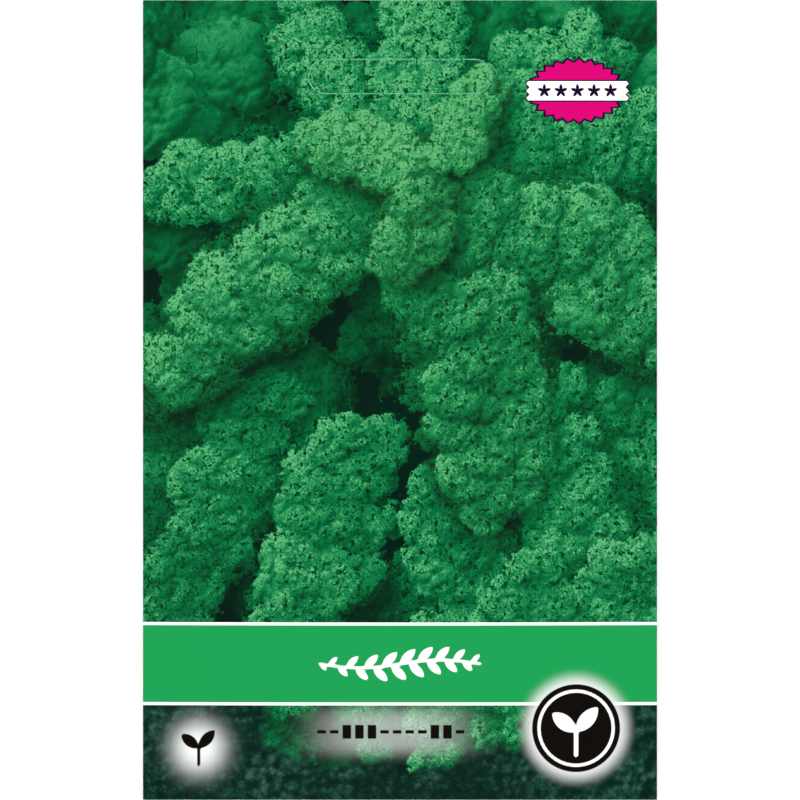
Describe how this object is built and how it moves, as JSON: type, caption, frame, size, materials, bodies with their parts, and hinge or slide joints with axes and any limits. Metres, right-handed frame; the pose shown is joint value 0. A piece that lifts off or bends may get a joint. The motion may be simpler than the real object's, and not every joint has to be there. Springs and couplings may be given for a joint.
{
  "type": "seed packet",
  "caption": "Flat folded paper seed packet with a perforated hang slot near its top edge, holding a glassine bag of loose round seeds.",
  "frame": {"origin": "middle of the packet's back, on the surface that it lies on", "axes": "+Z out of the printed front, +Y along the packet towards its hang slot, +X across it"},
  "size_m": [0.09, 0.14, 0.0039],
  "materials": {
    "printed_paper": "coated paper printed all over with a leafy green picture, satin",
    "glassine": "smooth, slightly see-through glassine",
    "seed_coat": "dry, matte, dark brown"
  },
  "bodies": {
    "root": {"packet_sheet": "printed_paper", "inner_bag": "glassine", "seeds": "seed_coat"}
  },
  "joints": []
}
